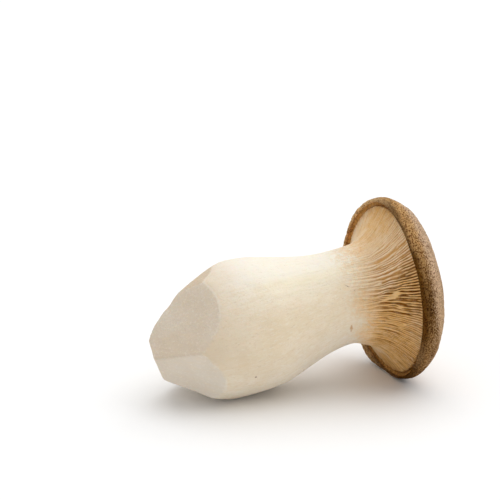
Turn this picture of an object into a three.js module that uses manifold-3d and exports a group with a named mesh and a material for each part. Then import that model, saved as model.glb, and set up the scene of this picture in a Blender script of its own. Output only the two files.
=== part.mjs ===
// A king oyster mushroom lying on its side, as picked and trimmed for the kitchen.
// Millimetres, +Z up. The stem runs along +X from the knife-trimmed base to the cap, and the
// origin is on the resting surface, under the middle of the mushroom.
//
// The fruit body grew as one piece, so it is one closed solid: a loft of rings that follows the
// bent stem, flares into the gilled underside, rolls over the cap's margin and closes over the
// crown. Flat knife cuts then point its base, and the side it lies on is pressed flat.

import * as THREE from 'three';
import { mergeVertices } from 'three/addons/utils/BufferGeometryUtils.js';
import Module from 'manifold-3d';

// Driving dimensions.
const BASE_RADIUS = 25.1;      // the swollen stem at its thickest
const NECK_RADIUS = 17.9;      // the stem where the gills run out
const CAP_RADIUS = 35.5;       // the cap across its margin
const CAP_DOME = 15;           // crown above the plane of the margin
const CAP_CENTRE = new THREE.Vector3(38.3, -1.9, 34.8);
const CAP_TILT = 3.3;          // degrees that the cap's axis rises above level

// The stem: [x, y, z] of each ring's centre and its radius as a share of BASE_RADIUS.
const STEM_RINGS = [
  [-62.1, 6.5, 23, 0],
  [-61.6, 6.5, 23, 0.34],
  [-58.1, 6.3, 23, 0.65],
  [-49.1, 5.5, 22.9, 0.87],
  [-38.1, 4.4, 22.9, 0.965],
  [-27.1, 3.2, 23.7, 0.995],
  [-18.1, 2.2, 25.2, 1],
  [-8.1, 1.1, 27, 0.964],
  [1.9, 0, 29.6, 0.84],
  [10.9, -1, 31.9, 0.745],
  [18.9, -1.9, 33.8, NECK_RADIUS / BASE_RADIUS],
];

// The cap: radius as a share of CAP_RADIUS, and height along its axis as a share of CAP_DOME.
const GILL_RINGS = [
  [0.539, -0.817],
  [0.592, -0.542],
  [0.679, -0.319],
  [0.798, -0.133],
  [0.887, -0.02],
];
const MARGIN_RINGS = [
  [0.932, 0.02],
  [0.946, 0.027],
  [0.958, -0.055],
  [0.983, -0.055],
  [1, 0.093],
  [0.998, 0.235],
];
const CROWN_RINGS = [
  [0.949, 0.436],
  [0.84, 0.67],
  [0.614, 0.87],
  [0.311, 0.977],
  [0.085, 1.003],
  [0, 1.003],
];

// The margin isn't a true circle: waves of [turns, cosine, sine] lift it along the axis (mm)
// and stretch its radius (share).
const MARGIN_LIFT = [[2, 1.17, -1.19], [3, -0.15, -0.45]];
const MARGIN_STRETCH = [[1, 0.002, -0.052], [2, -0.028, 0.019], [3, -0.022, 0.004]];

// Knife cuts round the base: the azimuth and elevation that each flat faces, in degrees, and
// its distance from KNIFE_CENTRE.
const KNIFE_CENTRE = new THREE.Vector3(-31.1, 3.6, 23.4);
const KNIFE_CUTS = [
  { azimuth: -142.5, elevation: 30.5, distance: 18.5 },
  { azimuth: -126.5, elevation: -28, distance: 20.7 },
  { azimuth: 169.5, elevation: 62, distance: 21 },
  { azimuth: 129.5, elevation: 37, distance: 15 },
  { azimuth: 135.5, elevation: 31.5, distance: 14.3 },
  { azimuth: 131.5, elevation: 8.5, distance: 12.3 },
  { azimuth: 165, elevation: -19, distance: 19.4 },
  { azimuth: 179, elevation: -69, distance: 19 },
];
const CUTTER_SIZE = 200;

// Fineness of the loft: steps from one ring to the next, and points round a ring.
const STEM_STEPS = 2;
const GILL_STEPS = 2;
const MARGIN_STEPS = 2;
const CROWN_STEPS = 3;
const POINTS_ROUND = 64;

const degrees = THREE.MathUtils.degToRad;

function facing(azimuth, elevation) {
  const level = Math.cos(degrees(elevation));
  return new THREE.Vector3(
    level * Math.cos(degrees(azimuth)),
    level * Math.sin(degrees(azimuth)),
    Math.sin(degrees(elevation)),
  );
}

function waves(terms, angle) {
  return terms.reduce(
    (sum, [turns, cosine, sine]) =>
      sum + cosine * Math.cos(turns * angle) + sine * Math.sin(turns * angle),
    0,
  );
}

// Every guide ring as one row: centre, radius, axis, and how far the margin's waves act on it.
function guideRings() {
  const rings = STEM_RINGS.map(([x, y, z, share]) => ({
    centre: new THREE.Vector3(x, y, z),
    radius: share * BASE_RADIUS,
    steps: STEM_STEPS,
  }));
  rings.forEach((ring, i) => {
    const before = rings[Math.max(i - 1, 0)].centre;
    const after = rings[Math.min(i + 1, rings.length - 1)].centre;
    ring.axis = after.clone().sub(before).normalize();
    ring.wave = 0;
  });
  const axis = facing(0, CAP_TILT);
  const capGroups = [
    { profile: GILL_RINGS, steps: GILL_STEPS, wave: (i) => (i + 1) / (GILL_RINGS.length + 1) },
    { profile: MARGIN_RINGS, steps: MARGIN_STEPS, wave: () => 1 },
    { profile: CROWN_RINGS, steps: CROWN_STEPS, wave: (i) => 1 - i / (CROWN_RINGS.length - 1) },
  ];
  for (const { profile, steps, wave } of capGroups) {
    profile.forEach(([share, height], i) => {
      rings.push({
        centre: CAP_CENTRE.clone().addScaledVector(axis, height * CAP_DOME),
        radius: share * CAP_RADIUS,
        axis,
        wave: wave(i),
        steps,
      });
    });
  }
  return rings;
}

// Catmull-Rom blend of four numbers.
function blend(a, b, c, d, t) {
  const t2 = t * t;
  const t3 = t2 * t;
  return 0.5 * (2 * b + (c - a) * t + (2 * a - 5 * b + 4 * c - d) * t2 + (3 * b - a - 3 * c + d) * t3);
}

function ringRow({ centre, radius, axis, wave }) {
  return [...centre.toArray(), radius, ...axis.toArray(), wave];
}

// The loft's fine rings, from the point of the base to the middle of the crown.
function fineRings() {
  const guides = guideRings();
  const rows = guides.map(ringRow);
  const fine = [];
  for (let i = 0; i < rows.length - 1; i += 1) {
    const near = [Math.max(i - 1, 0), i, i + 1, Math.min(i + 2, rows.length - 1)].map((k) => rows[k]);
    for (let step = 0; step < guides[i].steps; step += 1) {
      const t = step / guides[i].steps;
      fine.push(rows[i].map((_, k) => blend(near[0][k], near[1][k], near[2][k], near[3][k], t)));
    }
  }
  fine.push(rows[rows.length - 1]);
  return fine;
}

// One ring's points. Angle 0 is the highest point, and a quarter turn from it faces -Y.
function ringPoints(row) {
  const centre = new THREE.Vector3(row[0], row[1], row[2]);
  const axis = new THREE.Vector3(row[4], row[5], row[6]).normalize();
  const up = new THREE.Vector3(0, 0, 1);
  up.addScaledVector(axis, -axis.z).normalize();
  const side = new THREE.Vector3().crossVectors(axis, up);
  const points = [];
  for (let j = 0; j < POINTS_ROUND; j += 1) {
    const angle = (2 * Math.PI * j) / POINTS_ROUND;
    const radius = row[3] * (1 + row[7] * waves(MARGIN_STRETCH, angle));
    const point = centre.clone();
    point.addScaledVector(up, radius * Math.cos(angle));
    point.addScaledVector(side, radius * Math.sin(angle));
    point.addScaledVector(axis, row[7] * waves(MARGIN_LIFT, angle));
    points.push(point);
  }
  return points;
}

// The closed surface: rings joined in bands, with one shared point at each end.
function loft() {
  const rings = fineRings();
  const inner = rings.slice(1, -1).map(ringPoints);
  const positions = [rings[0].slice(0, 3)];
  for (const ring of inner) {
    for (const point of ring) {
      positions.push(point.toArray());
    }
  }
  positions.push(rings[rings.length - 1].slice(0, 3));
  const tip = 0;
  const crown = positions.length - 1;
  const at = (i, j) => 1 + i * POINTS_ROUND + (j % POINTS_ROUND);
  const faces = [];
  for (let j = 0; j < POINTS_ROUND; j += 1) {
    faces.push(tip, at(0, j + 1), at(0, j));
    faces.push(crown, at(inner.length - 1, j), at(inner.length - 1, j + 1));
    for (let i = 0; i < inner.length - 1; i += 1) {
      faces.push(at(i, j), at(i + 1, j + 1), at(i + 1, j));
      faces.push(at(i, j), at(i, j + 1), at(i + 1, j + 1));
    }
  }
  const geometry = new THREE.BufferGeometry();
  geometry.setAttribute('position', new THREE.Float32BufferAttribute(positions.flat(), 3));
  geometry.setIndex(faces);
  return geometry;
}

// A block whose near face lies on the cut and which fills everything outside it.
function cutter(normal, distance) {
  const block = new THREE.BoxGeometry(CUTTER_SIZE, CUTTER_SIZE, CUTTER_SIZE);
  block.translate(0, 0, CUTTER_SIZE / 2);
  const turn = new THREE.Quaternion().setFromUnitVectors(new THREE.Vector3(0, 0, 1), normal);
  block.applyQuaternion(turn);
  const foot = KNIFE_CENTRE.clone().addScaledVector(normal, distance);
  block.translate(foot.x, foot.y, foot.z);
  return block;
}

const wasm = await Module();
wasm.setup();

function solidFrom(geometry) {
  const bare = new THREE.BufferGeometry();
  bare.setAttribute('position', geometry.getAttribute('position'));
  bare.setIndex(geometry.getIndex());
  const merged = mergeVertices(bare, 1e-4);
  return new wasm.Manifold(new wasm.Mesh({
    numProp: 3,
    vertProperties: merged.getAttribute('position').array,
    triVerts: Uint32Array.from(merged.getIndex().array),
  }));
}

function geometryFrom(solid) {
  const mesh = solid.getMesh();
  const geometry = new THREE.BufferGeometry();
  geometry.setAttribute('position', new THREE.BufferAttribute(mesh.vertProperties, 3));
  geometry.setIndex(new THREE.BufferAttribute(mesh.triVerts, 1));
  geometry.computeVertexNormals();
  return geometry;
}

function fruitBody() {
  let solid = solidFrom(loft());
  for (const { azimuth, elevation, distance } of KNIFE_CUTS) {
    solid = solid.subtract(solidFrom(cutter(facing(azimuth, elevation), distance)));
  }
  const floorCut = cutter(new THREE.Vector3(0, 0, -1), KNIFE_CENTRE.z);
  return geometryFrom(solid.subtract(solidFrom(floorCut)));
}

const part = new THREE.Group();

const flesh = new THREE.MeshStandardMaterial({ color: 0xe6d8bd, roughness: 0.6, metalness: 0 });
const mushroom = new THREE.Mesh(fruitBody(), flesh);
mushroom.name = 'mushroom';
part.add(mushroom);

export default part;
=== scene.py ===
"""A king oyster mushroom lying on its side on a pale surface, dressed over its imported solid."""
import math

import bpy
import numpy as np
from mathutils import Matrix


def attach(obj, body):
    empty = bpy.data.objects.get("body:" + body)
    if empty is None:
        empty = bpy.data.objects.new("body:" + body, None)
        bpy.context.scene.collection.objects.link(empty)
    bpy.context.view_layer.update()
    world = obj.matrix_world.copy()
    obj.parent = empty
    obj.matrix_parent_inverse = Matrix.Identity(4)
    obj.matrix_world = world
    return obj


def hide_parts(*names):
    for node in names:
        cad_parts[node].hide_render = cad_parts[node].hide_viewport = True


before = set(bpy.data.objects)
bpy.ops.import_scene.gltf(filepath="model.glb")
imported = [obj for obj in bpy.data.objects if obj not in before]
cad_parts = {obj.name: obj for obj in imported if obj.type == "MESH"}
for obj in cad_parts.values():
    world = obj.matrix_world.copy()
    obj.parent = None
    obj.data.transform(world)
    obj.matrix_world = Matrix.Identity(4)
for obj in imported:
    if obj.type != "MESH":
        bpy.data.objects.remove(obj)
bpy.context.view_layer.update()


# ---------------------------------------------------------------------------------------------
# Camera
# A longish lens looks down at the mushroom from the side, a little from its base end.
# ---------------------------------------------------------------------------------------------
CAMERA_PLACE = (-0.1889, -0.4903, 0.1989)
LOOKS_DOWN = 15.5
LOOKS_ASIDE = 19.5

camera_data = bpy.data.cameras.new("camera")
camera_data.lens = 107.8
camera_data.sensor_width = 36.0
camera = bpy.data.objects.new("camera", camera_data)
camera.location = CAMERA_PLACE
camera.rotation_euler = (math.radians(90 - LOOKS_DOWN), 0.0, math.radians(-LOOKS_ASIDE))
bpy.context.scene.collection.objects.link(camera)
bpy.context.scene.camera = camera


# ---------------------------------------------------------------------------------------------
# Fruit body
# The mushroom grew as one piece of firm ivory flesh, trimmed round its base with a knife. One
# closed skin of rings runs along the bent stem, over the flare that carries the gills and round
# the inrolled margin to the felted brown crown. All lengths are millimetres.
# ---------------------------------------------------------------------------------------------
MM = 0.001
BASE_RADIUS = 25.1
NECK_RADIUS = 17.9
CAP_RADIUS = 35.5
CAP_DOME = 15.0
CAP_CENTRE = np.array([38.3, -1.9, 34.8])
CAP_TILT = math.radians(3.3)

# Stem rings: centre x, y, z, and radius as a share of BASE_RADIUS.
STEM_RINGS = np.array([
    [-62.1, 6.5, 23.0, 0.0],
    [-61.6, 6.5, 23.0, 0.34],
    [-58.1, 6.3, 23.0, 0.65],
    [-49.1, 5.5, 22.9, 0.87],
    [-38.1, 4.4, 22.9, 0.965],
    [-27.1, 3.2, 23.7, 0.995],
    [-18.1, 2.2, 25.2, 1.0],
    [-8.1, 1.1, 27.0, 0.964],
    [1.9, 0.0, 29.6, 0.84],
    [10.9, -1.0, 31.9, 0.745],
    [18.9, -1.9, 33.8, NECK_RADIUS / BASE_RADIUS],
])
# Cap rings from the neck over the margin to the crown: shares of CAP_RADIUS and CAP_DOME.
CAP_RINGS = np.array([
    [0.539, -0.817], [0.592, -0.542], [0.679, -0.319], [0.798, -0.133], [0.887, -0.02],
    [0.932, 0.02], [0.946, 0.027], [0.958, -0.055], [0.983, -0.055], [1.0, 0.093],
    [0.998, 0.235], [0.949, 0.436], [0.84, 0.67], [0.614, 0.87], [0.311, 0.977],
    [0.085, 1.003], [0.0, 1.003],
])
NECK = len(STEM_RINGS) - 1
MARGIN = NECK + 6
CROWN = NECK + len(CAP_RINGS)
# The margin's waves: turns, cosine and sine of its lift (mm) and of its stretch (share).
MARGIN_LIFT = [(2, 1.17, -1.19), (3, -0.15, -0.45)]
MARGIN_STRETCH = [(1, 0.002, -0.052), (2, -0.028, 0.019), (3, -0.022, 0.004)]


def unit(vectors):
    """Vectors scaled to length one."""
    return vectors / np.maximum(np.linalg.norm(vectors, axis=-1, keepdims=True), 1e-9)


def guide_rows():
    """Every guide ring as centre, radius, axis and wave share, in one table."""
    axis = np.array([math.cos(CAP_TILT), 0.0, math.sin(CAP_TILT)])
    stem_centre = STEM_RINGS[:, :3]
    ahead = np.vstack([stem_centre[1:], stem_centre[-1:]])
    behind = np.vstack([stem_centre[:1], stem_centre[:-1]])
    cap_centre = CAP_CENTRE + CAP_RINGS[:, 1:] * CAP_DOME * axis
    centre = np.vstack([stem_centre, cap_centre])
    radius = np.concatenate([STEM_RINGS[:, 3] * BASE_RADIUS, CAP_RINGS[:, 0] * CAP_RADIUS])
    axes = np.vstack([unit(ahead - behind), np.repeat(axis[None], len(CAP_RINGS), 0)])
    ring = np.arange(len(radius))
    wave = np.interp(ring, [NECK, MARGIN, MARGIN + 6, CROWN], [0, 1, 1, 0])
    return np.column_stack([centre, radius, axes, wave])


GUIDES = guide_rows()


def along_guides(k):
    """Rows at fractional ring numbers k: a Catmull-Rom blend of the four nearest guide rows."""
    last = len(GUIDES) - 1
    i = np.clip(np.floor(k).astype(int), 0, last - 1)
    t = (k - i)[:, None]
    a, b, c, d = (GUIDES[np.clip(i + step, 0, last)] for step in (-1, 0, 1, 2))
    return 0.5 * (2 * b + (c - a) * t + (2 * a - 5 * b + 4 * c - d) * t**2
                  + (3 * b - a - 3 * c + d) * t**3)


def waves(terms, angle):
    """Sum of cosine and sine waves that fit the circle a whole number of times."""
    return sum(c * np.cos(n * angle) + s * np.sin(n * angle) for n, c, s in terms)


def smooth_body(k, angle):
    """Points of the smooth body. A point is its ring's centre, plus the ring's radius turned by
    angle from the top towards -Y, stretched and lifted by the margin's waves."""
    rows = along_guides(k)
    axis = unit(rows[:, 4:7])[:, None]
    up = unit(np.array([0.0, 0.0, 1.0]) - axis[..., 2:] * axis)
    side = np.cross(axis, up)
    wave = rows[:, 7:8]
    radius = (rows[:, 3:4] * (1 + wave * waves(MARGIN_STRETCH, angle)))[..., None]
    lift = (wave * waves(MARGIN_LIFT, angle))[..., None]
    turned = up * np.cos(angle)[..., None] + side * np.sin(angle)[..., None]
    return rows[:, None, :3] + radius * turned + lift * axis


def body_normals(k, angle):
    """Outward normals of the smooth body, from small steps along and round it."""
    step = 0.02
    ahead = smooth_body(np.minimum(k + step, CROWN), angle)
    behind = smooth_body(np.maximum(k - step, 0), angle)
    around = smooth_body(k, angle + step) - smooth_body(k, angle - step)
    return unit(np.cross(around, ahead - behind))


# The skin is four bands of rings. Every band has a whole number of columns to each of the cells
# that the gills are laid out in, so that neighbouring bands meet without gaps.
CELLS = 92
STEM_COLUMNS, GILL_COLUMNS, MARGIN_COLUMNS, CROWN_COLUMNS = 3, 12, 6, 2
# Ring numbers where the bands, and the stretches of even rings inside them, meet.
POLE_GAP = 0.02
CUT_END = 5.6
GILL_START = 9.8
CHANNEL_START = 15.2
CHANNEL = 16.85
CROWN_START = 21.4
CUT_RING_COUNT, STEM_RING_COUNT = 62, 33
GILL_RING_COUNT, CHANNEL_RING_COUNT = 37, 7
MARGIN_RING_COUNT, CROWN_RING_COUNT = 34, 34


def arc_length(k):
    """Length of the body's lowest line from the base to ring numbers k, summed over chords."""
    fine = np.linspace(0, CROWN, 2000)
    rows = along_guides(fine)
    outline = rows[:, :3] + rows[:, 3:4] * np.array([0.0, -1.0, 0.0])
    chords = np.linalg.norm(np.diff(outline, axis=0), axis=1)
    return np.interp(k, fine, np.concatenate([[0.0], np.cumsum(chords)]))


def even_rings(start, end, count):
    """Ring numbers from start up to end, end left out, an equal length of outline apart."""
    fine = np.linspace(start, end, 600)
    length = arc_length(fine)
    return np.interp(np.linspace(length[0], length[-1], count, endpoint=False), length, fine)


def share_between(k, start, end):
    """How far ring numbers k are from start to end, as a share of the outline's length there."""
    length = arc_length(np.asarray(k, float))
    first, last = arc_length(start), arc_length(end)
    return (length - first) / (last - first)


def columns(rings, per_cell):
    """Equally spaced angles for each of the rings."""
    angle = np.arange(CELLS * per_cell) * 2 * np.pi / (CELLS * per_cell)
    return np.repeat(angle[None], len(rings), 0)


def random_field(places, wavelengths, seed, waves_in_it):
    """A smooth random field of about unit size: equal plane waves in random directions, with a
    wavelength of its own along each axis of the places."""
    chance = np.random.default_rng(seed)
    direction = unit(chance.normal(size=(waves_in_it, 3))) / np.asarray(wavelengths)
    phase = chance.uniform(0, 2 * np.pi, waves_in_it)
    total = np.zeros(places.shape[:-1])
    for wave_direction, wave_phase in zip(direction, phase):
        total += np.cos(2 * np.pi * places @ wave_direction + wave_phase)
    return total * math.sqrt(2 / waves_in_it)


def random_relief(places, layers):
    """Random fields on top of each other. A layer is its height and its wavelengths in mm, its
    seed, and the number of waves in it."""
    return sum(height * random_field(places, wavelengths, seed, waves_in_it)
               for height, wavelengths, seed, waves_in_it in layers)


def smoothstep(low, high, value):
    """0 below low, 1 above high, with a smooth S between."""
    t = np.clip((value - low) / (high - low), 0, 1)
    return t * t * (3 - 2 * t)


def hump(angle, centre, width):
    """A bell round the circle, 1 at its centre, that falls to 0.6 at one width from it."""
    away = (angle - math.radians(centre) + np.pi) % (2 * np.pi) - np.pi
    return np.exp(-0.5 * (away / math.radians(width)) ** 2)


def humps(angle, bells):
    """A sum of bells round the circle. A bell is its height, and its centre and width in
    degrees: 0 is the top, 90 the side towards -Y, 180 the bottom and 270 the other side."""
    return sum(height * hump(angle, centre, width) for height, centre, width in bells)


def rod_places(k, angle):
    """Places on the body as if it were a straight round rod with a slight twist: length along
    it, then two lengths across. Fibres follow them."""
    along = np.repeat(arc_length(k)[:, None], angle.shape[1], 1)
    twisted = angle + 0.003 * along
    return np.stack([along, BASE_RADIUS * np.cos(twisted), BASE_RADIUS * np.sin(twisted)], -1)


# Gills: two to a cell, a full one and a short one that sinks into the flesh towards the neck.
GILL_DEPTH = 1.45
CHANNEL_DEPTH = 1.3
GROOVE_PROFILE = np.array([1.0, 0.6, 0.13, 0.0, 0.13, 0.6] * 2)
SHORT_END = np.random.default_rng(10).uniform(0.3, 0.78, CELLS)
SHORT_END[::4] = -1.0
# How far the gills stray sideways, in cells: each by chance, all in slow waves, and in quicker
# ones half way along. The waves' turns are how often they go round the neck.
STRAY = 0.07
WANDER, WANDER_TURNS = 0.3, (3, 5, 8, 13, 21, 34)
TANGLE, TANGLE_TURNS = 0.11, (11, 17, 27, 41)
# How tangle, swing, strength and painted shade of the gills go round the neck, as bells. The
# painted shade deepens near the margin, on the low side and between the gills, and eases in the
# channel where it opens.
TANGLE_ROUND = [(0.75, 82, 24)]
SWING_ROUND = [(0.65, 82, 28)]
STRENGTH_PLAIN = 0.3
STRENGTH_ROUND = [(0.76, 82, 28), (0.4, 240, 40), (0.19, 46, 13), (0.06, 40, 20),
                  (-0.19, 123, 13), (-0.1, 335, 35)]
MELTED_ROUND = [(0.4, 98, 9)]
SHADE_NEAR_MARGIN = [(0.5, 52, 15), (0.2, 95, 13), (0.2, 150, 20), (0.3, 352, 28)]
SHADE_LOW_SIDE = [(0.3, 148, 22)]
SHADE_BETWEEN = [(0.12, 138, 11)]
CHANNEL_OPENS = [(0.75, 195, 24), (0.5, 315, 26)]
CHANNEL_SHADE_EASED = [(0.5, 195, 22), (0.4, 285, 22)]
# Bridges of flesh between gills: ring number, angle in degrees, half length and half width in
# mm, and how far the flesh stands above the gills, in mm.
BRIDGES = [(12.6, 76.5, 2.2, 1.2, 0.8), (12.0, 79.5, 2.6, 0.5, 0.3), (12.9, 88, 1.6, 0.5, 0.1),
           (11.3, 63, 1.2, 0.5, 0.1), (13.3, 104, 1.0, 0.4, 0.0)]


def gill_columns(rings):
    """Angles of the gills' columns. Inside its cell a short gill is squeezed towards the neck,
    and all of them wander sideways in slow waves."""
    chance = np.random.default_rng(11)
    share = share_between(rings, GILL_START, CHANNEL)[:, None, None]
    cell = np.arange(CELLS)[None, :, None]
    column = np.arange(GILL_COLUMNS)[None, None, :]
    short_end = SHORT_END[None, :, None]
    full_share = 0.5 + 0.3 * (1 - smoothstep(short_end - 0.2, short_end + 0.1, share))
    half = GILL_COLUMNS // 2
    squeezed = np.where(column <= half, full_share * column / half,
                        full_share + (1 - full_share) * (column - half) / half)
    even = column / GILL_COLUMNS
    loose = smoothstep(0.0, 0.2, share) * (1 - smoothstep(0.72, 1.0, share))
    turn = 2 * np.pi * cell / CELLS
    wander = chance.normal(0, STRAY, (1, CELLS, 1))
    for count in WANDER_TURNS:
        phase = chance.uniform(0, 2 * np.pi, 2)
        wander = wander + WANDER / math.sqrt(count) * np.cos(count * turn + phase[0] + 5 * share) \
            * np.cos(4.5 * share + phase[1])
    middle = smoothstep(0.1, 0.3, share) * (1 - smoothstep(0.5, 0.8, share))
    tangle = TANGLE * (0.25 + humps(turn, TANGLE_ROUND)) * middle
    for count in TANGLE_TURNS:
        phase = chance.uniform(0, 2 * np.pi, 2)
        wander = wander + tangle * np.cos(count * turn + phase[0] + 9 * share) \
            * np.cos(19 * share + phase[1])
    place = even + loose * (squeezed - even + wander)
    return ((cell + place) * 2 * np.pi / CELLS).reshape(len(rings), -1)


def gill_strength(share, angle):
    """How deep the gills are cut, as a share: a plain depth plus bells round the neck, a little
    more near the margin, less where the gills have melted together, and none at their start."""
    around = STRENGTH_PLAIN + humps(angle, STRENGTH_ROUND)
    at_margin = 0.25 * smoothstep(0.6, 0.9, share)
    melted = humps(angle, MELTED_ROUND) * (1 - smoothstep(0.5, 0.85, share))
    return (around + at_margin) * (1 - melted) * smoothstep(-0.03, 0.52, share)


def bridged(rings, angle):
    """How much of each place is a bridge, and how far it stands up there: a bell of the bridge's
    length and width, measured along the outline and round it."""
    along = arc_length(rings)[:, None]
    around_radius = along_guides(rings)[:, 3:4]
    cover = np.zeros(angle.shape)
    rise = np.zeros(angle.shape)
    for k, degrees, half_length, half_width, height in BRIDGES:
        along_it = (along - arc_length(k)) / half_length
        across_it = around_radius * (angle - math.radians(degrees)) / half_width
        bell = np.exp(-(along_it**2 + (across_it + 0.5 * np.sin(1.6 * along_it)) ** 2) ** 3)
        cover = np.maximum(cover, bell)
        rise = np.maximum(rise, bell * height)
    return cover, rise


def channel_depth(angle):
    """Depth of the channel round the gills: shallower where the roll stands off at the far side."""
    return CHANNEL_DEPTH * (1 - humps(angle, CHANNEL_OPENS))


def gill_depth(rings, angle):
    """Depth of the gills' surface below the smooth body, and how much painted shade each place gets
    as part of a groove. Each column keeps its place in the groove profile, the grooves deepen and
    shallow along their length, short gills sink away, bridges fill the grooves, and a channel runs
    round the outer ends. The painted shade follows the same profile, with bells of its own round
    the neck, and also darkens the channel at the gills' outer ends."""
    chance = np.random.default_rng(12)
    share = share_between(rings, GILL_START, CHANNEL)[:, None]
    half = GILL_COLUMNS // 2

    def each_gill(values):
        return np.repeat(values, half, axis=-1)

    phase = each_gill(chance.uniform(0, 2 * np.pi, (2, 2 * CELLS)))
    pace = each_gill(chance.uniform(9, 30, (2, 2 * CELLS)))
    swing = np.cos(pace[0] * share + phase[0]) * np.cos(pace[1] * share + phase[1])
    crest = each_gill(chance.uniform(0.0, 0.28, 2 * CELLS))
    swing = swing * (0.35 + humps(angle, SWING_ROUND))
    depth = np.maximum(np.tile(GROOVE_PROFILE, CELLS) * (0.72 + 0.28 * swing), crest * (1 + swing))
    is_short = np.tile(np.arange(GILL_COLUMNS) > half, CELLS)
    short_end = np.repeat(SHORT_END, GILL_COLUMNS)
    sunk = 0.7 * (1 - smoothstep(short_end - 0.06, short_end + 0.06, share))
    depth = np.where(is_short, np.maximum(depth, sunk), depth)
    cover, rise = bridged(rings, angle)
    strength = gill_strength(share, angle)
    near_margin = (humps(angle, SHADE_NEAR_MARGIN) - 0.15) * smoothstep(0.65, 1.0, share)
    shade = 0.27 + 0.74 * strength + humps(angle, SHADE_LOW_SIDE)
    groove = depth * (1 - cover) * shade * smoothstep(0.0, 0.5, share) * (1 + near_margin)
    groove = groove + humps(angle, SHADE_BETWEEN) * smoothstep(0.15, 0.5, share)
    depth = depth * GILL_DEPTH * strength * (1 - 0.85 * cover) - rise
    ragged = each_gill(chance.uniform(-0.016, 0.012, 2 * CELLS))
    end = smoothstep(0.945 + ragged, 0.995, share)
    # The painted shade in the channel at the gills' ends is lighter where the channel opens.
    channel_shade = 1 - humps(angle, CHANNEL_SHADE_EASED)
    return np.maximum(depth, end * channel_depth(angle)), np.maximum(groove, end * channel_shade)


# Random relief in layers: height and wavelengths in mm, seed and number of waves.
STEM_RELIEF = [(0.1, (30, 15, 15), 21, 28), (0.035, (8, 5, 5), 26, 40), (0.03, (13, 2.4, 2.4), 22, 50)]
SKIN_DENTS = [(0.09, (13, 13, 13), 23, 28)]
BLADE_RIPPLE = [(0.06, (8, 8, 8), 25, 28), (0.02, (2.6, 2.6, 2.6), 27, 50)]
# How far the relief sits below the smooth body, and the least that it may, in mm.
SUNK, LEAST_SUNK = 0.15, 0.02
# Larger unevenness of the roll, in mm, as bells.
LOW_SIDE_WAVE = [(1.2, 208, 9), (-0.4, 189, 5)]
INNER_HOLLOW = [(-0.45, 85, 36)]
FAR_BULGE = [(0.55, 316, 12)]


def relief(k, angle):
    """Height of the unevenness above the smooth body, in mm. Swells and fibres of the stem and
    dents and pits of the cap stay just below it. On the roll, the low side has a wave that goes
    both ways, the inner face is hollow and the far side bulges."""
    rod = rod_places(k, angle)
    places = smooth_body(k, angle)
    stem = 1 - smoothstep(9.0, 11.5, k)[:, None]
    skin = smoothstep(17.2, 18.5, k)[:, None]
    pits = random_field(places, (2.3, 2.3, 2.3), 24, 60)
    pits = 0.07 * pits - 0.1 * smoothstep(0.9, 1.8, pits)
    uneven = stem * random_relief(rod, STEM_RELIEF) + skin * (random_relief(places, SKIN_DENTS) + pits)
    uneven = np.minimum(uneven - SUNK, -LEAST_SUNK)
    on_roll = smoothstep(16.9, 17.8, k) * (1 - smoothstep(19.5, 21.3, k))
    inner = smoothstep(16.85, 17.6, k) * (1 - smoothstep(18.4, 20.0, k))
    far = smoothstep(16.9, 18.0, k) * (1 - smoothstep(21.5, 23.5, k))
    return uneven + on_roll[:, None] * humps(angle, LOW_SIDE_WAVE) \
        + inner[:, None] * humps(angle, INNER_HOLLOW) + far[:, None] * humps(angle, FAR_BULGE)


# Knife cuts round the base: azimuth and elevation each flat faces, distance from the centre in
# mm, and how much painted shade darkens the face towards tan.
KNIFE_CENTRE = np.array([-31.1, 3.6, 23.4])
KNIFE_CUTS = [(-142.5, 30.5, 18.5, 0.6), (-126.5, -28, 20.7, 0.25), (169.5, 62, 21, 1.0),
              (129.5, 37, 15, 0.6), (135.5, 31.5, 14.3, 0.5), (131.5, 8.5, 12.3, 0.4),
              (165, -19, 19.4, 0.3), (179, -69, 19, 0.3)]
EDGE_SHARPNESS = 3.2
OUT_OF_REACH = 200.0


def knife_trim(points):
    """Points outside a cut move towards the knife's centre until they lie on it. A soft minimum
    of the distances along that line rounds the edges, and the blade leaves the cuts a little
    uneven. Also gives how surely each is on a cut, and how much painted shade darkens that cut."""
    out = points - KNIFE_CENTRE
    reach = np.linalg.norm(out, axis=-1)
    direction = out / np.maximum(reach, 1e-6)[..., None]
    uneven = random_relief(points, BLADE_RIPPLE)
    soft = np.exp(-EDGE_SHARPNESS * reach)
    nearest = np.full(reach.shape, np.inf)
    cut_shade = np.zeros(reach.shape)
    for azimuth, elevation, distance, face_shade in KNIFE_CUTS:
        level = math.cos(math.radians(elevation))
        normal = np.array([level * math.cos(math.radians(azimuth)),
                           level * math.sin(math.radians(azimuth)),
                           math.sin(math.radians(elevation))])
        slant = (distance + uneven) / np.maximum(direction @ normal, 1e-6)
        slant = np.minimum(slant, OUT_OF_REACH)
        soft += np.exp(-EDGE_SHARPNESS * slant)
        # Each place takes the painted shade of the cut it lies on.
        cut_shade = np.where(slant < nearest, face_shade, cut_shade)
        nearest = np.minimum(nearest, slant)
    trimmed = -np.log(soft) / EDGE_SHARPNESS
    on_cut = smoothstep(-0.15, 0.45, reach - nearest)
    return KNIFE_CENTRE + direction * trimmed[..., None], on_cut, cut_shade


# How softly the flesh meets the surface it lies on, in mm squared.
RESTING_SOFTNESS = 0.03


def press_flat(points):
    """The side it lies on can't go below the surface: z becomes half of z plus the root of z
    squared and the softness, which follows z above the surface and levels out at it."""
    flat = points.copy()
    z = points[..., 2]
    flat[..., 2] = 0.5 * (z + np.sqrt(z * z + RESTING_SOFTNESS))
    return flat
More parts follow.
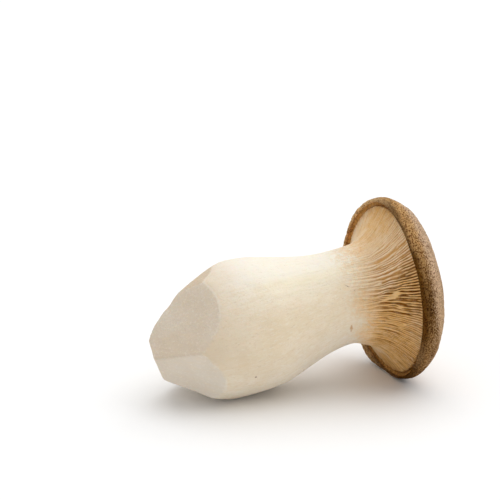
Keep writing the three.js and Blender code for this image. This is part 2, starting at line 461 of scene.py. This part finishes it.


# How the tan of the gills and the darkness of lip and rim go round the cap, as bells. Part of it
# is painted shade: the roll's shadow on the gills at the top, deep shade on the low side, the
# channel's shadow along the lip and contact shadow near the floor.
TAN_ROUND = [(0.74, 98, 29), (0.5, 147, 27), (0.42, 358, 24), (-0.2, 45, 14)]
TAN_AND_SHADE_OUTER = [(0.45, 67, 12), (-0.08, 44, 12), (-0.35, 104, 15), (0.3, 340, 24), (0.6, 180, 17)]
TAN_MIDDLE = [(0.2, 84, 17), (-0.3, 43, 17)]
GILL_SPREADS = [(0.25, 108, 38), (-0.13, 107, 7), (0.12, 5, 30)]
LIP_ROUND = [(0.78, 20, 25), (0.75, 70, 18), (0.85, 100, 24), (0.9, 154, 18), (0.55, 194, 20)]
RIM_ROUND = [(0.84, 83, 20), (0.25, 120, 18), (0.8, 163, 24), (0.6, 202, 20)]
LIP_REACH = [(-0.8, 42, 18)]
# RIM_REACH carries the rim's dark colour, with its painted shade, further out on the low side.
RIM_REACH = [(5.0, 122, 16)]


def band(rings, angle, depth, groove):
    """One band of the skin: its points, and the marks that the finish reads at each of them.
    A point is on the smooth body, moved along the outward normal by the relief less the depth,
    then trimmed by the knife and pressed flat where it lies."""
    height = relief(rings, angle) - depth
    points = smooth_body(rings, angle) + body_normals(rings, angle) * height[..., None]
    points, on_cut, cut_shade = knife_trim(points)

    def everywhere(values):
        return np.repeat(values[:, None], angle.shape[1], 1)

    share = share_between(rings, GILL_START, CHANNEL)
    in_the_middle = smoothstep(0.3, 0.5, share) * (1 - smoothstep(0.62, 0.8, share))
    # Tan of the gills, and near the margin painted shade: the roll's shadow at the top and deep shade on
    # the low side.
    tan = smoothstep(-0.3, 0.7, share)[:, None] * (0.12 + humps(angle, TAN_ROUND)) \
        + smoothstep(0.5, 0.92, share)[:, None] * humps(angle, TAN_AND_SHADE_OUTER) \
        + in_the_middle[:, None] * humps(angle, TAN_MIDDLE)
    marks = {
        "cut": on_cut,
        # Painted shade on some cut faces, darkening them towards tan.
        "cut_shade": cut_shade,
        "gill": smoothstep(-0.05, 0.6, share[:, None] + humps(angle, GILL_SPREADS)),
        # Painted shade in the grooves between the gills and in the channel at their ends.
        "groove": groove,
        # The gills' own tan, with painted shade near the margin.
        "tan": tan * (1 - 0.3 * bridged(rings, angle)[0]),
        "skin": everywhere(smoothstep(CHANNEL - 0.3, CHANNEL, rings)),
        "from_margin": everywhere(arc_length(rings) - arc_length(CHANNEL)),
        # Lip and rim darkness: partly their own colour, partly painted shade in the channel and near the
        # floor, and painted light on the far side.
        "lip_tone_and_painted_shade": np.minimum(0.05 + humps(angle, LIP_ROUND), 1.0),
        "rim_tone_and_painted_shade": np.minimum(0.05 + humps(angle, RIM_ROUND), 1.0),
        "lip_reach": humps(angle, LIP_REACH),
        "rim_reach": humps(angle, RIM_REACH),
        "rod": rod_places(rings, angle),
    }
    return press_flat(points), marks


def mushroom_bands():
    """The four bands from base to crown: stem, gills, margin and crown."""
    stem_rings = np.concatenate([even_rings(POLE_GAP, CUT_END, CUT_RING_COUNT),
                                 even_rings(CUT_END, GILL_START, STEM_RING_COUNT)])
    gill_rings = np.concatenate([even_rings(GILL_START, CHANNEL_START, GILL_RING_COUNT),
                                 even_rings(CHANNEL_START, CHANNEL, CHANNEL_RING_COUNT)])
    margin_rings = even_rings(CHANNEL, CROWN_START, MARGIN_RING_COUNT)
    crown_rings = even_rings(CROWN_START, CROWN - POLE_GAP, CROWN_RING_COUNT)
    stem_angle = columns(stem_rings, STEM_COLUMNS)
    gill_angle = gill_columns(gill_rings)
    margin_angle = columns(margin_rings, MARGIN_COLUMNS)
    crown_angle = columns(crown_rings, CROWN_COLUMNS)
    lip = 1 - smoothstep(CHANNEL + 0.15, CHANNEL + 0.95, margin_rings)
    lip = lip[:, None] * np.ones_like(margin_angle)
    return [band(stem_rings, stem_angle, *np.zeros((2, *stem_angle.shape))),
            band(gill_rings, gill_angle, *gill_depth(gill_rings, gill_angle)),
            band(margin_rings, margin_angle, lip * channel_depth(margin_angle), lip),
            band(crown_rings, crown_angle, *np.zeros((2, *crown_angle.shape)))]


def grid_faces(numbers):
    """Quads between neighbouring rings of one band."""
    right = np.roll(numbers, -1, axis=1)
    quads = np.stack([numbers[:-1], right[:-1], right[1:], numbers[1:]], -1)
    return quads.reshape(-1, 4).tolist()


def seam_faces(before, after):
    """Polygons between the last ring of one band and the first of the next: each takes one edge
    of the ring with fewer columns and all the edges opposite it."""
    fine_after = len(after) > len(before)
    fine, coarse = (after, before) if fine_after else (before, after)
    ratio = len(fine) // len(coarse)
    run = fine[(np.arange(len(coarse))[:, None] * ratio + np.arange(ratio + 1)) % len(fine)]
    pair = np.stack([coarse, np.roll(coarse, -1)], -1)
    if fine_after:
        return np.hstack([pair, run[:, ::-1]]).tolist()
    return np.hstack([run, pair[:, ::-1]]).tolist()


def pole_faces(pole, ring, at_base):
    """Triangles from one point to the ring round it."""
    tip = np.full(len(ring), pole)
    ahead = np.roll(ring, -1)
    return np.stack([tip, ahead, ring] if at_base else [tip, ring, ahead], -1).tolist()


def mushroom_mesh():
    """Joins the bands, the seams between them and the two end points into one closed mesh."""
    bands = mushroom_bands()
    first = 0
    numbers = []
    for points, _ in bands:
        count = points.shape[0] * points.shape[1]
        numbers.append(first + np.arange(count).reshape(points.shape[:2]))
        first += count
    faces = []
    for block in numbers:
        faces += grid_faces(block)
    for before, after in zip(numbers[:-1], numbers[1:]):
        faces += seam_faces(before[-1], after[0])
    faces += pole_faces(first, numbers[0][0], True)
    faces += pole_faces(first + 1, numbers[-1][-1], False)

    def with_ends(blocks):
        width = blocks[0].shape[2:]
        rows = [block.reshape(-1, *width) for block in blocks]
        return np.concatenate(rows + [blocks[0][0].mean(0)[None], blocks[-1][-1].mean(0)[None]])

    mesh = bpy.data.meshes.new("mushroom_body")
    mesh.from_pydata((with_ends([points for points, _ in bands]) * MM).tolist(), [], faces)
    mesh.polygons.foreach_set("use_smooth", np.ones(len(mesh.polygons), bool))
    for name in bands[0][1]:
        values = with_ends([marks[name] for _, marks in bands])
        if values.ndim == 2:
            mesh.attributes.new(name, "FLOAT_VECTOR", "POINT").data.foreach_set("vector", values.ravel())
        else:
            mesh.attributes.new(name, "FLOAT", "POINT").data.foreach_set("value", values)
    return mesh


body_mesh = mushroom_mesh()
body = bpy.data.objects.new("mushroom_body", body_mesh)
bpy.context.scene.collection.objects.link(body)


# The finish. Three surfaces run into each other on the one skin: satin ivory flesh with
# lengthwise fibres, gills that darken to tan towards the margin with painted shade in their
# grooves, and the cap's felted skin.
FLESH_IVORY = (0.93, 0.80, 0.605, 1)
FLESH_PALE = (0.98, 0.92, 0.82, 1)
FLESH_WARM = (0.84, 0.685, 0.47, 1)
FLESH_COOL = (0.91, 0.82, 0.69, 1)
FLESH_NECK = (0.98, 0.875, 0.66, 1)
FLESH_BASE = (0.76, 0.635, 0.475, 1)
CUT_FACE = (0.83, 0.755, 0.65, 1)
# Painted shade: shaded cut faces darken towards this tan.
CUT_SHADED = (0.68, 0.55, 0.405, 1)
FLECK_BUFF = (0.62, 0.47, 0.30, 1)
GILL_CREAM = (0.905, 0.695, 0.46, 1)
GILL_TAN = (0.84, 0.505, 0.19, 1)
# Painted shade: the grooves between the gills take these darker colours, which also tint dark threads
# and grains.
GROOVE_CREAM = (0.68, 0.38, 0.135, 1)
GROOVE_TAN = (0.25, 0.09, 0.004, 1)
# ROLL_ORANGE and LIP_PALE are the roll's orange and the far side's pale tan, lightened as painted light
# against the roll's shade.
ROLL_ORANGE = (0.68, 0.37, 0.11, 1)
# LIP_DARK, LIP_BROWN and RIM_BROWN are the lip's and rim's own dark brown, deepened into painted shade.
LIP_DARK = (0.085, 0.03, 0.002, 1)
LIP_PALE = (0.78, 0.51, 0.25, 1)
LIP_BROWN = (0.13, 0.055, 0.009, 1)
RIM_BROWN = (0.15, 0.062, 0.008, 1)
RIM_TAN = (0.64, 0.37, 0.145, 1)
SKIN_TAN = (0.67, 0.445, 0.26, 1)
SKIN_HIGH_PALE = (0.76, 0.555, 0.39, 1)
CROWN_FAWN = (0.53, 0.355, 0.225, 1)
GRAIN_PALE = (0.84, 0.59, 0.38, 1)
HOLLOW_SHADE = (0.21, 0.095, 0.022, 1)
SPECK_BROWN = (0.25, 0.13, 0.055, 1)
SCAR_RUST = (0.64, 0.40, 0.21, 1)
SCAR_UMBER = (0.45, 0.30, 0.18, 1)
# How rough flesh and skin are, how little they shine, and how light scatters in the flesh: its
# share, how much of the scatter's depth red, green and blue reach, and that depth in mm.
FLESH_ROUGH = 0.5
SKIN_ROUGH = 0.78
SHINE = 0.02
SCATTER_SHARE = 0.15
SCATTER_REACH = (1.0, 0.55, 0.3)
SCATTER_DEPTH = 1.5
# Blemishes of the flesh: x, y, z and radius in mm.
BLEMISHES = [(-33.7, -19.4, 14.6, 0.55), (-20.1, -20.0, 13.5, 0.5), (0.6, -13.9, 11.5, 0.45),
             (13.1, -17.1, 42.0, 0.4), (18.1, -18.3, 41.2, 0.4), (28.8, -15.8, 50.0, 0.5),
             (9.0, -18.7, 34.0, 0.3), (-8.0, -23.5, 22.0, 0.3)]
# Specks of soil in two sizes: cells per mm, radius in mm, and share of the cells that hold one.
SPECKS = [(0.10, 0.28, 0.12), (0.25, 0.18, 0.12)]
# Scars on the neck: two ends, half width in mm, and colour.
SCARS = [((16.9, -18.9, 28.5), (17.4, -17.7, 25.3), 0.6, SCAR_RUST),
         ((14.5, -16.3, 43.5), (16.6, -17.4, 42.4), 0.3, SCAR_UMBER)]


def feed(tree, socket, value):
    """Links a socket to another node's output, or gives it a plain value."""
    if isinstance(value, bpy.types.NodeSocket):
        tree.links.new(value, socket)
    else:
        socket.default_value = value


def add_node(tree, kind, inputs=None, **settings):
    """A new shader node with its settings and inputs filled in."""
    node = tree.nodes.new("ShaderNode" + kind)
    for name, value in settings.items():
        setattr(node, name, value)
    for name, value in (inputs or {}).items():
        feed(tree, node.inputs[name], value)
    return node


def arithmetic(tree, operation, first, second):
    """One step of arithmetic on two values."""
    return add_node(tree, "Math", {0: first, 1: second}, operation=operation).outputs[0]


def times(tree, first, second):
    """The product of two values."""
    return arithmetic(tree, "MULTIPLY", first, second)


def plus(tree, first, second):
    """The sum of two values."""
    return arithmetic(tree, "ADD", first, second)


def minus(tree, first, second):
    """The first value less the second."""
    return arithmetic(tree, "SUBTRACT", first, second)


def blended(tree, share, first, second):
    """The first value with a share of the second."""
    return add_node(tree, "Mix", {0: share, 2: first, 3: second}).outputs[0]


def away_from(tree, place, point):
    """Distance of a place from a point, in mm."""
    return add_node(tree, "VectorMath", {0: place, 1: point}, operation="DISTANCE").outputs[1]


def mixed(tree, share, first, second, blend="MIX"):
    """The first colour with a share of the second, or darkened by that share of it."""
    return add_node(tree, "Mix", {0: share, 6: first, 7: second}, data_type="RGBA",
                    blend_type=blend).outputs[2]


def spread(tree, value, low, high, to_low=0.0, to_high=1.0):
    """A value stretched from one range to another along an S, and held at the ends."""
    node = add_node(tree, "MapRange", {0: value, 1: low, 2: high, 3: to_low, 4: to_high},
                    interpolation_type="SMOOTHSTEP")
    return node.outputs[0]


def stretched(tree, vector, scale):
    """A vector with each of its axes multiplied."""
    return add_node(tree, "VectorMath", {0: vector, 1: scale}, operation="MULTIPLY").outputs[0]


def cloud(tree, vector, per_mm, detail=2.0, roughness=0.5):
    """Soft noise from 0 to 1 with a number of patches per mm."""
    return add_node(tree, "TexNoise", {"Vector": vector, "Scale": per_mm, "Detail": detail,
                                       "Roughness": roughness}).outputs[0]


def new_group(name, inputs, outputs):
    """An empty node group with named inputs and outputs, and the sockets of its two end nodes."""
    tree = bpy.data.node_groups.new(name, "ShaderNodeTree")
    for socket, kind in inputs.items():
        tree.interface.new_socket(socket, in_out="INPUT", socket_type="NodeSocket" + kind)
    for socket, kind in outputs.items():
        tree.interface.new_socket(socket, in_out="OUTPUT", socket_type="NodeSocket" + kind)
    return tree, tree.nodes.new("NodeGroupInput").outputs, tree.nodes.new("NodeGroupOutput").inputs


def use_group(tree, group, inputs):
    """A group placed in another node tree."""
    node = tree.nodes.new("ShaderNodeGroup")
    node.node_tree = group
    for name, value in inputs.items():
        feed(tree, node.inputs[name], value)
    return node.outputs


def specks_group():
    """Scattered small round marks: in a share of the cells of a Voronoi pattern, everything
    nearer to the cell's point than the radius, with a soft edge."""
    tree, given, result = new_group(
        "specks", {"Place": "Vector", "Per mm": "Float", "Radius": "Float", "Share": "Float"},
        {"Mask": "Float"})
    cells = add_node(tree, "TexVoronoi", {"Vector": given["Place"], "Scale": given["Per mm"]})
    chance = add_node(tree, "SeparateColor", {0: cells.outputs["Color"]}).outputs[0]
    reach = times(tree, given["Radius"], given["Per mm"])
    near = arithmetic(tree, "DIVIDE", cells.outputs["Distance"], reach)
    dot = spread(tree, near, 0.5, 1.0, 1.0, 0.0)
    feed(tree, result["Mask"],
         times(tree, dot, arithmetic(tree, "LESS_THAN", chance, given["Share"])))
    return tree


def flesh_group():
    """Ivory flesh: pale and warm clouds with fine fibres along the rod, cooler below, and duller at
    the base. Painted sheen makes the upper side paler, most on top of the neck, and the neck is
    yellower, lighter on its upper side as painted light. Cut faces are greyer, some darkened
    towards tan by painted shade, with a painted highlight along their edges."""
    tree, given, result = new_group(
        "ivory_flesh", {"Rod": "Vector", "Place": "Vector", "Cut": "Float", "Cut shade": "Float"},
        {"Color": "Color", "Height": "Float"})
    fibre = cloud(tree, stretched(tree, given["Rod"], (0.2, 1.0, 1.0)), 0.8, 4.0, 0.65)
    thread = cloud(tree, stretched(tree, given["Rod"], (0.22, 1.0, 1.0)), 2.0, 2.0, 0.6)
    fleck = cloud(tree, stretched(tree, given["Rod"], (0.45, 1.0, 1.0)), 1.5, 2.0, 0.5)
    mottle = cloud(tree, given["Place"], 0.16, 4.0, 0.62)
    patch = cloud(tree, given["Place"], 0.045, 3.0, 0.55)
    grain = cloud(tree, given["Place"], 1.1, 3.0, 0.7)
    along, up, _ = add_node(tree, "SeparateXYZ", {0: given["Rod"]}).outputs

    colour = mixed(tree, spread(tree, patch, 0.36, 0.7), FLESH_IVORY, FLESH_WARM)
    colour = mixed(tree, spread(tree, up, -4.0, -23.0, 0.0, 0.85), colour, FLESH_COOL)
    # Painted sheen: the upper side turns paler.
    colour = mixed(tree, spread(tree, up, -2.0, 22.0), colour, FLESH_PALE)
    colour = mixed(tree, spread(tree, mottle, 0.45, 0.75, 0.0, 0.45), colour, FLESH_WARM)
    colour = mixed(tree, spread(tree, fibre, 0.46, 0.7, 0.0, 0.5), colour, FLESH_WARM)
    colour = mixed(tree, spread(tree, thread, 0.5, 0.75, 0.0, 0.5), colour, FLESH_PALE)
    colour = mixed(tree, spread(tree, grain, 0.52, 0.72, 0.0, 0.6), colour, FLESH_WARM)
    # The neck's own yellower tone, laid on its upper side only and lighter there as painted light.
    neck_tone_and_light = times(tree, spread(tree, along, 50.0, 82.0, 0.0, 0.75), spread(tree, up, 2.0, 18.0))
    colour = mixed(tree, neck_tone_and_light, colour, FLESH_NECK)
    # Painted sheen on top of the neck.
    top_sheen = times(tree, spread(tree, along, 46.0, 62.0), spread(tree, up, 14.5, 19.0, 0.0, 0.65))
    colour = mixed(tree, top_sheen, colour, FLESH_PALE)
    at_base = times(tree, spread(tree, along, 38.0, 72.0, 0.9, 0.0), spread(tree, up, -19.0, -2.0))
    colour = mixed(tree, at_base, colour, FLESH_BASE)
    colour = mixed(tree, spread(tree, fleck, 0.60, 0.76, 0.0, 0.3), colour, FLECK_BUFF)

    # Painted shade of each cut face, varied by random patches.
    cut_shade = plus(tree, given["Cut shade"], spread(tree, patch, 0.3, 0.7, -0.2, 0.2))
    face = mixed(tree, cut_shade, CUT_FACE, CUT_SHADED)
    face = mixed(tree, spread(tree, fibre, 0.45, 0.75, 0.0, 0.3), face, FLESH_WARM)
    face = mixed(tree, spread(tree, grain, 0.5, 0.72, 0.0, 0.3), face, FLESH_PALE)
    colour = mixed(tree, given["Cut"], colour, face)
    # Painted highlight along the edges of the cut faces.
    edge_highlight = times(tree, given["Cut"], minus(tree, 1.0, given["Cut"]))
    edge_highlight = times(tree, edge_highlight, spread(tree, mottle, 0.4, 0.6))
    colour = mixed(tree, spread(tree, edge_highlight, 0.02, 0.25, 0.0, 0.3), colour, FLESH_PALE)
    feed(tree, result["Color"], colour)

    bumps = plus(tree, times(tree, fibre, 0.2), times(tree, thread, 0.09))
    feed(tree, result["Height"], plus(tree, bumps, times(tree, grain, 0.18)))
    return tree


def marks_group(specks):
    """Marks on the flesh: a few specks of soil, small ragged blemishes, and scars. A scar is
    every place whose detour by way of its two ends is short."""
    tree, given, result = new_group("flesh_marks", {"Color": "Color", "Place": "Vector"},
                                    {"Color": "Color"})
    colour = given["Color"]
    place = given["Place"]
    grain = cloud(tree, place, 1.1, 3.0, 0.7)
    for per_mm, radius, share in SPECKS:
        mask = use_group(tree, specks, {"Place": place, "Per mm": per_mm,
                                        "Radius": radius, "Share": share})["Mask"]
        colour = mixed(tree, times(tree, mask, 0.6), colour, SPECK_BROWN)
    for x, y, z, radius in BLEMISHES:
        away = plus(tree, away_from(tree, place, (x, y, z)), times(tree, grain, radius))
        mask = spread(tree, away, 0.7 * radius, 1.6 * radius, 0.8, 0.0)
        colour = mixed(tree, mask, colour, SPECK_BROWN)
    for start, end, half_width, shade in SCARS:
        length = math.dist(start, end)
        edge = 2 * math.hypot(length / 2, half_width) - length
        both_ways = plus(tree, away_from(tree, place, start), away_from(tree, place, end))
        detour = minus(tree, both_ways, length)
        ragged = plus(tree, detour, spread(tree, grain, 0.3, 0.7, -0.5 * edge, 0.5 * edge))
        colour = mixed(tree, spread(tree, ragged, 0.1 * edge, 1.4 * edge, 0.9, 0.0), colour, shade)
    feed(tree, result["Color"], colour)
    return tree


def gill_group():
    """Gill flesh: cream to tan on the edges of the gills, painted shade down in the grooves, with
    darker and paler threads along them and faint clouds."""
    tree, given, result = new_group(
        "gill_flesh", {"Rod": "Vector", "Place": "Vector", "Groove shade": "Float", "Tan and shade": "Float"},
        {"Color": "Color", "Height": "Float"})
    cloudy = cloud(tree, given["Place"], 0.22, 4.0, 0.6)
    grain = cloud(tree, given["Place"], 1.4, 3.0, 0.6)
    thread = cloud(tree, stretched(tree, given["Rod"], (0.16, 1.0, 1.0)), 1.5, 3.0, 0.65)
    tan = plus(tree, given["Tan and shade"], spread(tree, cloudy, 0.3, 0.7, -0.22, 0.22))
    tan = spread(tree, tan, 0.0, 1.0)
    edge = mixed(tree, tan, GILL_CREAM, GILL_TAN)
    depth = mixed(tree, tan, GROOVE_CREAM, GROOVE_TAN)
    # Painted shade down in the grooves.
    colour = mixed(tree, spread(tree, given["Groove shade"], 0.02, 0.66), edge, depth)
    lines = times(tree, spread(tree, thread, 0.5, 0.7, 0.0, 0.5), spread(tree, tan, 0.05, 0.5))
    colour = mixed(tree, lines, colour, GROOVE_CREAM)
    colour = mixed(tree, spread(tree, thread, 0.46, 0.3, 0.0, 0.3), colour, GILL_CREAM)
    colour = mixed(tree, spread(tree, grain, 0.55, 0.8, 0.0, 0.35), colour, GROOVE_TAN)
    feed(tree, result["Color"], colour)
    feed(tree, result["Height"], minus(tree, times(tree, grain, 0.12), times(tree, thread, 0.06)))
    return tree


def skin_group():
    """Felted cap skin. From the gills outwards: the orange inner side of the roll, the brown lip,
    the rim, tan over the margin and fawn at the crown, paler high up. Lip and rim are darker partly
    in their own brown and partly by painted shade, along the channel and near the floor on the low
    side, and paler by painted light on the far side. Pale grains with small ragged hollows between
    them, dark inside, crowd on the rim and thin out towards the crown, where fine dark fibrils run
    outwards."""
    tree, given, result = new_group(
        "cap_skin", {"Rod": "Vector", "Place": "Vector", "From margin": "Float", "Lip tone and painted shade": "Float",
                     "Lip reach": "Float", "Rim tone and painted shade": "Float", "Rim reach": "Float"},
        {"Color": "Color", "Height": "Float"})
    margin = given["From margin"]
    felt = cloud(tree, given["Place"], 0.20, 5.0, 0.6)
    rim_nap = cloud(tree, stretched(tree, given["Rod"], (1.0, 0.85, 0.85)), 2.4, 2.0, 0.6)
    crown_nap = cloud(tree, given["Place"], 2.2, 4.0, 0.7)
    nap = blended(tree, spread(tree, margin, 9.0, 15.0), rim_nap, crown_nap)
    fibrils = cloud(tree, stretched(tree, given["Rod"], (0.22, 1.0, 1.0)), 0.8, 4.0, 0.65)
    out = plus(tree, margin, spread(tree, felt, 0.25, 0.75, -0.7, 0.7))
    past_lip = minus(tree, out, given["Lip reach"])
    past_rim = minus(tree, out, given["Rim reach"])

    # Lip and rim go from pale, with painted light, to dark, their own brown with painted shade.
    edge = mixed(tree, given["Lip tone and painted shade"], LIP_PALE, LIP_DARK)
    lip = mixed(tree, given["Lip tone and painted shade"], LIP_PALE, LIP_BROWN)
    rim = mixed(tree, given["Rim tone and painted shade"], RIM_TAN, RIM_BROWN)
    colour = mixed(tree, spread(tree, margin, 0.0, 0.7), ROLL_ORANGE, edge)
    colour = mixed(tree, spread(tree, margin, 0.9, 3.0), colour, lip)
    colour = mixed(tree, spread(tree, past_lip, 3.6, 5.4), colour, rim)
    colour = mixed(tree, spread(tree, past_rim, 6.0, 9.6), colour, SKIN_TAN)
    colour = mixed(tree, spread(tree, out, 15.0, 36.0), colour, CROWN_FAWN)

    on_crown = times(tree, spread(tree, out, 11.0, 18.0), spread(tree, out, 30.0, 42.0, 1.0, 0.3))
    fine = times(tree, spread(tree, fibrils, 0.42, 0.68, 0.0, 0.42), on_crown)
    colour = mixed(tree, fine, colour, HOLLOW_SHADE, "MULTIPLY")
    up = add_node(tree, "SeparateXYZ", {0: given["Place"]}).outputs[2]
    # Paler high up on the cap's upper side.
    high_pale = times(tree, spread(tree, up, 32.0, 62.0, 0.0, 0.55), spread(tree, out, 7.5, 11.0))
    colour = mixed(tree, high_pale, colour, SKIN_HIGH_PALE)

    fading = spread(tree, out, 11.0, 22.0, 1.0, 0.3)
    crowded = times(tree, fading, spread(tree, out, 0.5, 5.0, 0.65, 1.0))
    hollow = spread(tree, nap, 0.48, 0.61)
    pale = times(tree, spread(tree, nap, 0.34, 0.48, 0.58, 0.0), spread(tree, out, 4.0, 9.5))
    colour = mixed(tree, times(tree, pale, fading), colour, GRAIN_PALE)
    for pattern, most in ((spread(tree, felt, 0.42, 0.72), 0.3), (hollow, 0.85)):
        dark = times(tree, times(tree, pattern, most), crowded)
        colour = mixed(tree, dark, colour, HOLLOW_SHADE, "MULTIPLY")
    feed(tree, result["Color"], colour)

    height = minus(tree, times(tree, felt, 0.3), times(tree, nap, 0.2))
    sunk = times(tree, hollow, times(tree, crowded, 0.16))
    feed(tree, result["Height"], minus(tree, height, sunk))
    return tree


def mushroom_finish():
    """The one material of the skin. The masks kept on the mesh say which of the three surfaces
    shows, and a soft scatter of light under the surface is the same all over."""
    material = bpy.data.materials.new("mushroom_finish")
    material.use_nodes = True
    tree = material.node_tree
    shader = tree.nodes["Principled BSDF"]

    def mark(name, output="Fac"):
        return add_node(tree, "Attribute", attribute_name=name).outputs[output]

    in_mm = (1 / MM, 1 / MM, 1 / MM)
    place = stretched(tree, add_node(tree, "TexCoord").outputs["Object"], in_mm)
    both = {"Rod": mark("rod", "Vector"), "Place": place}
    flesh = use_group(tree, flesh_group(), {**both, "Cut": mark("cut"), "Cut shade": mark("cut_shade")})
    gills = use_group(tree, gill_group(), {**both, "Groove shade": mark("groove"), "Tan and shade": mark("tan")})
    skin = use_group(tree, skin_group(), {
        **both, "From margin": mark("from_margin"),
        "Lip tone and painted shade": mark("lip_tone_and_painted_shade"), "Lip reach": mark("lip_reach"),
        "Rim tone and painted shade": mark("rim_tone_and_painted_shade"), "Rim reach": mark("rim_reach")})
    speckle = cloud(tree, place, 0.8, 4.0, 0.7)
    turning = plus(tree, mark("gill"), spread(tree, speckle, 0.3, 0.7, -0.24, 0.24))
    to_gill = spread(tree, turning, 0.1, 1.0)
    to_skin = mark("skin")

    colour = mixed(tree, to_gill, flesh["Color"], gills["Color"])
    colour = use_group(tree, marks_group(specks_group()), {"Color": colour, "Place": place})["Color"]
    colour = mixed(tree, to_skin, colour, skin["Color"])
    feed(tree, shader.inputs["Base Color"], colour)
    height = blended(tree, to_gill, flesh["Height"], gills["Height"])
    height = blended(tree, to_skin, height, skin["Height"])
    bump = add_node(tree, "Bump", {"Strength": 1.0, "Distance": MM, "Height": height})
    feed(tree, shader.inputs["Normal"], bump.outputs[0])
    feed(tree, shader.inputs["Roughness"], spread(tree, to_skin, 0.0, 1.0, FLESH_ROUGH, SKIN_ROUGH))
    shader.inputs["Specular IOR Level"].default_value = SHINE
    shader.inputs["Subsurface Weight"].default_value = SCATTER_SHARE
    shader.inputs["Subsurface Radius"].default_value = SCATTER_REACH
    shader.inputs["Subsurface Scale"].default_value = SCATTER_DEPTH * MM
    return material


body_mesh.materials.append(mushroom_finish())
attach(body, "root")
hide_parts("mushroom")


# ---------------------------------------------------------------------------------------------
# Floor and light
# A wide white sheet under a pale even sky, and one broad soft lamp above and a little behind.
# ---------------------------------------------------------------------------------------------
FLOOR_HALF = 4.0
FLOOR_PALE = (0.9, 0.9, 0.9, 1)
FLOOR_SEEN = (1.0, 1.0, 1.0, 1)
FLOOR_ROUGH = 0.9
FLOOR_SHINE = 0.1
SKY_WHITE = (1.0, 1.0, 1.0, 1)
SKY_STRENGTH = 0.6
LAMP_STRENGTH = 1.6
LAMP_SPREAD = 85
LAMP_LEAN = (-8, 22)

floor_mesh = bpy.data.meshes.new("floor")
floor_mesh.from_pydata([(-FLOOR_HALF, -FLOOR_HALF, 0), (FLOOR_HALF, -FLOOR_HALF, 0),
                        (FLOOR_HALF, FLOOR_HALF, 0), (-FLOOR_HALF, FLOOR_HALF, 0)],
                       [], [(0, 1, 2, 3)])
floor = bpy.data.objects.new("floor", floor_mesh)
bpy.context.scene.collection.objects.link(floor)
floor_finish = bpy.data.materials.new("floor_white")
floor_finish.use_nodes = True
floor_shader = floor_finish.node_tree.nodes["Principled BSDF"]
seen = add_node(floor_finish.node_tree, "LightPath").outputs["Is Camera Ray"]
feed(floor_finish.node_tree, floor_shader.inputs["Base Color"],
     mixed(floor_finish.node_tree, seen, FLOOR_PALE, FLOOR_SEEN))
floor_shader.inputs["Roughness"].default_value = FLOOR_ROUGH
floor_shader.inputs["Specular IOR Level"].default_value = FLOOR_SHINE
floor_mesh.materials.append(floor_finish)

world = bpy.data.worlds.new("sky")
bpy.context.scene.world = world
world.use_nodes = True
sky = world.node_tree.nodes["Background"].inputs
sky["Color"].default_value = SKY_WHITE
sky["Strength"].default_value = SKY_STRENGTH

lamp_data = bpy.data.lights.new("soft_lamp", "SUN")
lamp_data.angle = math.radians(LAMP_SPREAD)
lamp_data.energy = LAMP_STRENGTH
lamp = bpy.data.objects.new("soft_lamp", lamp_data)
lamp.rotation_euler = (math.radians(LAMP_LEAN[0]), math.radians(LAMP_LEAN[1]), 0.0)
bpy.context.scene.collection.objects.link(lamp)

bpy.context.scene.view_settings.view_transform = "Standard"
